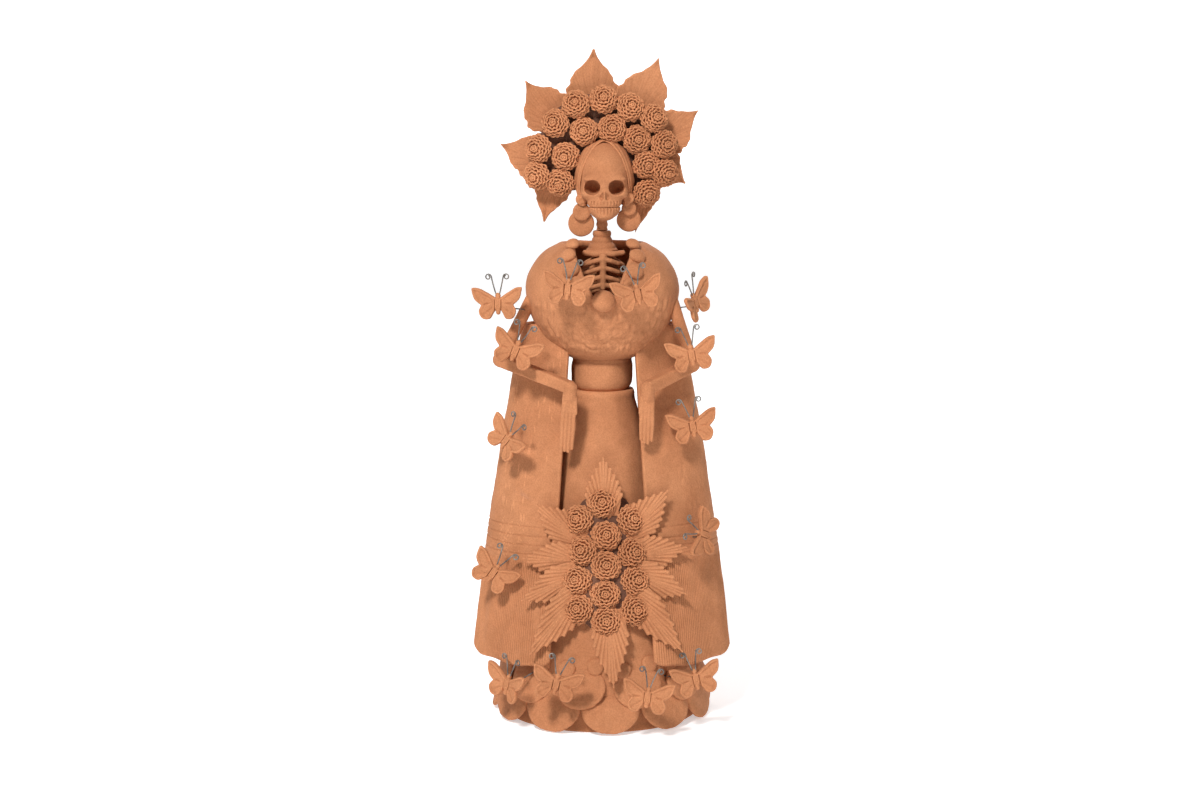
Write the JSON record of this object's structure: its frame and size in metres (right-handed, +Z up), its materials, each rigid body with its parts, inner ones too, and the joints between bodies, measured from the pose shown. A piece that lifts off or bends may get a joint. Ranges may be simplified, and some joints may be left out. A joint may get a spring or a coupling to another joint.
{
  "type": "clay skeleton lady figurine",
  "caption": "Terracotta skeleton lady: hollow skirt, bowl-shaped shawl, mantle, bouquet, lift-off head with flower headdress, and clay butterflies that sway on spring wires.",
  "frame": {"origin": "centre of the skirt's foot ring, on the floor", "axes": "+Z up, -Y is the front that the face looks along, +X to the viewer's right"},
  "size_m": [0.197, 0.184, 0.5019],
  "materials": {
    "terracotta": "matte",
    "smoked_clay": "matte",
    "wire": "satin"
  },
  "bodies": {
    "figure": {"bouquet_flowers": "terracotta", "bouquet_leaves": "terracotta", "bouquet_mound": "smoked_clay", "clavicle": "terracotta", "forearm_left": "terracotta", "forearm_right": "terracotta", "hand_left": "terracotta", "hand_right": "terracotta", "hem_discs_bottom": "terracotta", "hem_discs_middle": "terracotta", "hem_discs_top": "terracotta", "mantle_left": "terracotta", "mantle_right": "terracotta", "neck_collar": "terracotta", "rib_cage": "terracotta", "shawl": "terracotta", "shawl_beads": "terracotta", "skirt": "terracotta", "torso_core": "terracotta", "upper_arm_left": "terracotta", "upper_arm_right": "terracotta", "waist_band": "terracotta"},
    "neck": {"neck_peg": "terracotta"},
    "head": {"skull": "terracotta", "jaw": "terracotta", "hair": "terracotta", "earring_left": "terracotta", "earring_right": "terracotta", "headdress_frame": "smoked_clay", "headdress_flowers": "terracotta", "headdress_leaves": "terracotta"},
    "butterfly_01": {"butterfly_01": "terracotta", "butterfly_01_wires": "wire"},
    "butterfly_02": {"butterfly_02": "terracotta", "butterfly_02_wires": "wire"},
    "butterfly_03": {"butterfly_03": "terracotta", "butterfly_03_wires": "wire"},
    "butterfly_04": {"butterfly_04": "terracotta", "butterfly_04_wires": "wire"},
    "butterfly_05": {"butterfly_05": "terracotta", "butterfly_05_wires": "wire"},
    "butterfly_06": {"butterfly_06": "terracotta", "butterfly_06_wires": "wire"},
    "butterfly_07": {"butterfly_07": "terracotta", "butterfly_07_wires": "wire"},
    "butterfly_08": {"butterfly_08": "terracotta", "butterfly_08_wires": "wire"},
    "butterfly_09": {"butterfly_09": "terracotta", "butterfly_09_wires": "wire"},
    "butterfly_10": {"butterfly_10": "terracotta", "butterfly_10_wires": "wire"},
    "butterfly_11": {"butterfly_11": "terracotta", "butterfly_11_wires": "wire"},
    "butterfly_12": {"butterfly_12": "terracotta", "butterfly_12_wires": "wire"},
    "butterfly_13": {"butterfly_13": "terracotta", "butterfly_13_wires": "wire"},
    "butterfly_14": {"butterfly_14": "terracotta", "butterfly_14_wires": "wire"}
  },
  "joints": [
    {"name": "head_lift", "type": "slide", "parent": "figure", "child": "neck", "axis": [0, 0, 1], "range_m": [0, 0.03]},
    {"name": "head_turn", "type": "hinge", "parent": "neck", "child": "head", "pos_m": [0, -0.006, 0.3676], "axis": [0, 0, 1], "range_deg": [-20, 20]},
    {"name": "butterfly_01_sway", "type": "hinge", "parent": "figure", "child": "butterfly_01", "pos_m": [-0.0598, -0.0179, 0.3099], "axis": [-0.4613, 0.8872, 0], "range_deg": [-8, 8], "stiffness_Nm_per_rad": 0.15},
    {"name": "butterfly_02_sway", "type": "hinge", "parent": "figure", "child": "butterfly_02", "pos_m": [-0.0247, -0.0477, 0.3236], "axis": [-1, 0, 0], "range_deg": [-8, 8], "stiffness_Nm_per_rad": 0.15},
    {"name": "butterfly_03_sway", "type": "hinge", "parent": "figure", "child": "butterfly_03", "pos_m": [0.0254, -0.0472, 0.3191], "axis": [-1, 0, 0], "range_deg": [-8, 8], "stiffness_Nm_per_rad": 0.15},
    {"name": "butterfly_04_sway", "type": "hinge", "parent": "figure", "child": "butterfly_04", "pos_m": [0.0598, -0.0138, 0.3109], "axis": [-0.6859, -0.7277, 0], "range_deg": [-8, 8], "stiffness_Nm_per_rad": 0.15},
    {"name": "butterfly_05_sway", "type": "hinge", "parent": "figure", "child": "butterfly_05", "pos_m": [-0.0618, -0.0326, 0.2719], "axis": [-0.996, 0.0892, 0], "range_deg": [-8, 8], "stiffness_Nm_per_rad": 0.15},
    {"name": "butterfly_06_sway", "type": "hinge", "parent": "figure", "child": "butterfly_06", "pos_m": [0.0609, -0.0295, 0.271], "axis": [-0.9633, -0.2685, 0], "range_deg": [-8, 8], "stiffness_Nm_per_rad": 0.15},
    {"name": "butterfly_07_sway", "type": "hinge", "parent": "figure", "child": "butterfly_07", "pos_m": [-0.0623, -0.0239, 0.2082], "axis": [-0.8437, 0.5369, 0], "range_deg": [-8, 8], "stiffness_Nm_per_rad": 0.15},
    {"name": "butterfly_08_sway", "type": "hinge", "parent": "figure", "child": "butterfly_08", "pos_m": [0.0621, -0.0217, 0.2191], "axis": [-0.946, -0.3242, 0], "range_deg": [-8, 8], "stiffness_Nm_per_rad": 0.15},
    {"name": "butterfly_09_sway", "type": "hinge", "parent": "figure", "child": "butterfly_09", "pos_m": [-0.0761, -0.0368, 0.1131], "axis": [-0.959, 0.2833, 0], "range_deg": [-8, 8], "stiffness_Nm_per_rad": 0.15},
    {"name": "butterfly_10_sway", "type": "hinge", "parent": "figure", "child": "butterfly_10", "pos_m": [0.0684, -0.036, 0.1405], "axis": [-0.8346, -0.5508, 0], "range_deg": [-8, 8], "stiffness_Nm_per_rad": 0.15},
    {"name": "butterfly_11_sway", "type": "hinge", "parent": "figure", "child": "butterfly_11", "pos_m": [-0.0522, -0.059, 0.0419], "axis": [-0.4615, 0.8871, 0], "range_deg": [-8, 8], "stiffness_Nm_per_rad": 0.15},
    {"name": "butterfly_12_sway", "type": "hinge", "parent": "figure", "child": "butterfly_12", "pos_m": [-0.0251, -0.0752, 0.0401], "axis": [-0.9304, 0.3665, 0], "range_deg": [-8, 8], "stiffness_Nm_per_rad": 0.15},
    {"name": "butterfly_13_sway", "type": "hinge", "parent": "figure", "child": "butterfly_13", "pos_m": [0.0219, -0.0767, 0.0318], "axis": [-0.8425, -0.5387, 0], "range_deg": [-8, 8], "stiffness_Nm_per_rad": 0.15},
    {"name": "butterfly_14_sway", "type": "hinge", "parent": "figure", "child": "butterfly_14", "pos_m": [0.0476, -0.0573, 0.0393], "axis": [-0.5392, -0.8422, 0], "range_deg": [-8, 8], "stiffness_Nm_per_rad": 0.15}
  ]
}
